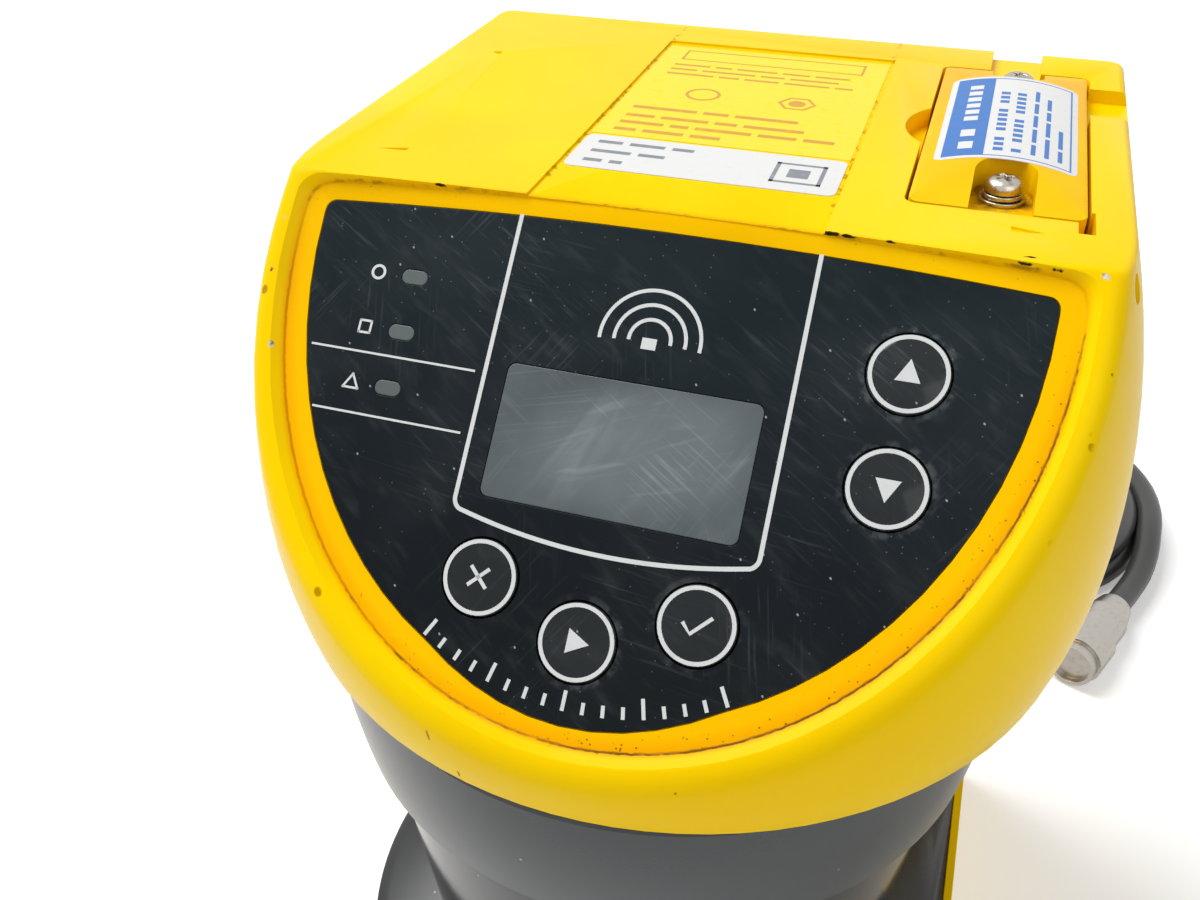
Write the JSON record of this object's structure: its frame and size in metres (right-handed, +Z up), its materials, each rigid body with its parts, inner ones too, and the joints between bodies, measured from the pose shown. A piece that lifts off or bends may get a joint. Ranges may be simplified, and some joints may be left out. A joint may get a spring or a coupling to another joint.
{
  "type": "safety laser scanner",
  "caption": "Safety laser scanner: yellow head with sloped black control panel and screwed settings cover over a dark curved scan window, on a low base with rear column, cable and connectors.",
  "frame": {"origin": "foot of the mirror's axis on the underside of the unit", "axes": "+Z up along the mirror's axis, -Y to the front where the panel faces, +X to the right"},
  "size_m": [0.1535, 0.2594, 0.1619],
  "materials": {
    "yellow_paint": "smooth satin paint, worn along the panel's crease",
    "cover_yellow": "fine-grained satin plastic",
    "membrane_black": "glossy film, scratched, with white lines",
    "pane_grey": "hazed clear pane over a dark display",
    "lamp_grey": "unlit frosted lamp",
    "key_black": "glossy domed key with a white ring",
    "polyester": "clear film",
    "board_green": "green lacquered board",
    "display_frame": "pressed frame",
    "steel": "plated, slightly worn",
    "rubber_black": "matte black rubber",
    "hood_grey": "dark grey, satin sheen",
    "window_black": "deep black, highly glossy",
    "lens_glass": "clear polished lens",
    "laser_brass": "turned barrel",
    "mirror_face": "front-coated mirror",
    "rotor_grey": "machined",
    "disc_black": "etched black disc",
    "cast_grey": "die cast",
    "base_black": "semi-gloss black",
    "plate_black": "black coated sheet",
    "brass": "turned, with thread",
    "cord_black": "glossy black jacket"
  },
  "bodies": {
    "body": {"head_housing": "yellow_paint", "control_membrane": "membrane_black", "display_pane": "pane_grey", "display_module": "display_frame", "status_lamp_1": "lamp_grey", "status_lamp_2": "lamp_grey", "status_lamp_3": "lamp_grey", "dome_sheet": "polyester", "keypad_board": "board_green", "settings_cover": "cover_yellow", "cover_seal": "rubber_black", "cover_screws": "steel", "spring_washers": "steel", "flat_washers": "steel", "service_socket": "disc_black", "service_board": "board_green", "head_gasket": "rubber_black", "window_hood": "hood_grey", "scan_window": "window_black", "window_seal": "rubber_black", "optics_frame": "cast_grey", "receiver_lens": "lens_glass", "laser_module": "laser_brass", "receiver_board": "board_green", "scan_motor": "cast_grey", "upper_bearing": "steel", "lower_bearing": "steel", "disc_sensor": "disc_black", "base_housing": "base_black", "rear_housing": "yellow_paint", "bottom_plate": "plate_black", "plate_screws": "steel", "fixing_inserts": "brass", "main_board": "board_green", "outlet_socket": "steel", "outlet_seal": "rubber_black", "outlet_plug": "steel", "coupling_ring": "steel", "strain_relief": "rubber_black", "cable_lead": "cord_black", "cable_coil": "cord_black", "cable_tail": "cord_black", "end_connector": "steel"},
    "rotor": {"mirror_hub": "rotor_grey", "scan_mirror": "mirror_face", "slotted_disc": "disc_black", "motor_spindle": "steel"},
    "key_up": {"key_up": "key_black"},
    "key_down": {"key_down": "key_black"},
    "key_back": {"key_back": "key_black"},
    "key_run": {"key_run": "key_black"},
    "key_confirm": {"key_confirm": "key_black"}
  },
  "joints": [
    {"name": "mirror_spin", "type": "hinge", "parent": "body", "child": "rotor", "pos_m": [0, 0, 0.064], "axis": [0, 0, 1], "continuous": true},
    {"name": "key_up_press", "type": "slide", "parent": "body", "child": "key_up", "axis": [0, 0.7133, -0.7009], "range_m": [0, 0.0004], "stiffness_N_per_m": 600},
    {"name": "key_down_press", "type": "slide", "parent": "body", "child": "key_down", "axis": [0, 0.7133, -0.7009], "range_m": [0, 0.0004], "stiffness_N_per_m": 600},
    {"name": "key_back_press", "type": "slide", "parent": "body", "child": "key_back", "axis": [0, 0.7133, -0.7009], "range_m": [0, 0.0004], "stiffness_N_per_m": 600},
    {"name": "key_run_press", "type": "slide", "parent": "body", "child": "key_run", "axis": [0, 0.7133, -0.7009], "range_m": [0, 0.0004], "stiffness_N_per_m": 600},
    {"name": "key_confirm_press", "type": "slide", "parent": "body", "child": "key_confirm", "axis": [0, 0.7133, -0.7009], "range_m": [0, 0.0004], "stiffness_N_per_m": 600}
  ]
}
